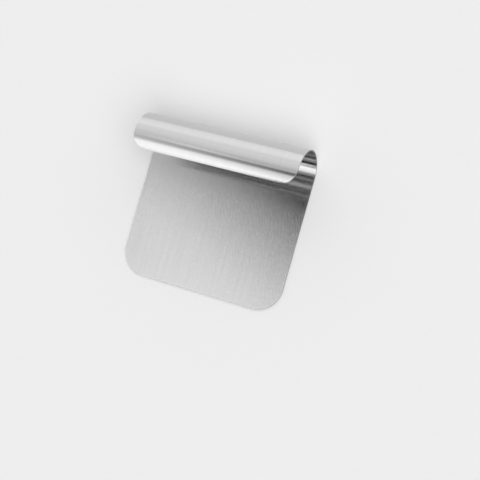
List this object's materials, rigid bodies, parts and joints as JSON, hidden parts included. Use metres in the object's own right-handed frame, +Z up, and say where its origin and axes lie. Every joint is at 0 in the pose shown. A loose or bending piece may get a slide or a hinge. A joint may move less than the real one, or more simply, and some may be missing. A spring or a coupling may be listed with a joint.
{
  "type": "food scoop",
  "caption": "Flat square steel blade with rounded corners whose top is rolled forward into an open tubular handle, for scooping, scraping and portioning dough and chopped food.",
  "frame": {"origin": "under the middle of the scoop, in the plane of its flat back, which rests on a table", "axes": "+X along the width and the handle, +Y from the scooping edge to the handle, +Z up from the back to the side that the handle is rolled towards"},
  "size_m": [0.15, 0.1354, 0.043],
  "materials": {
    "steel": "fine straight brushing along the blade's height and round the handle, satin gloss"
  },
  "bodies": {
    "root": {"blade_with_rolled_handle": "steel"}
  },
  "joints": []
}
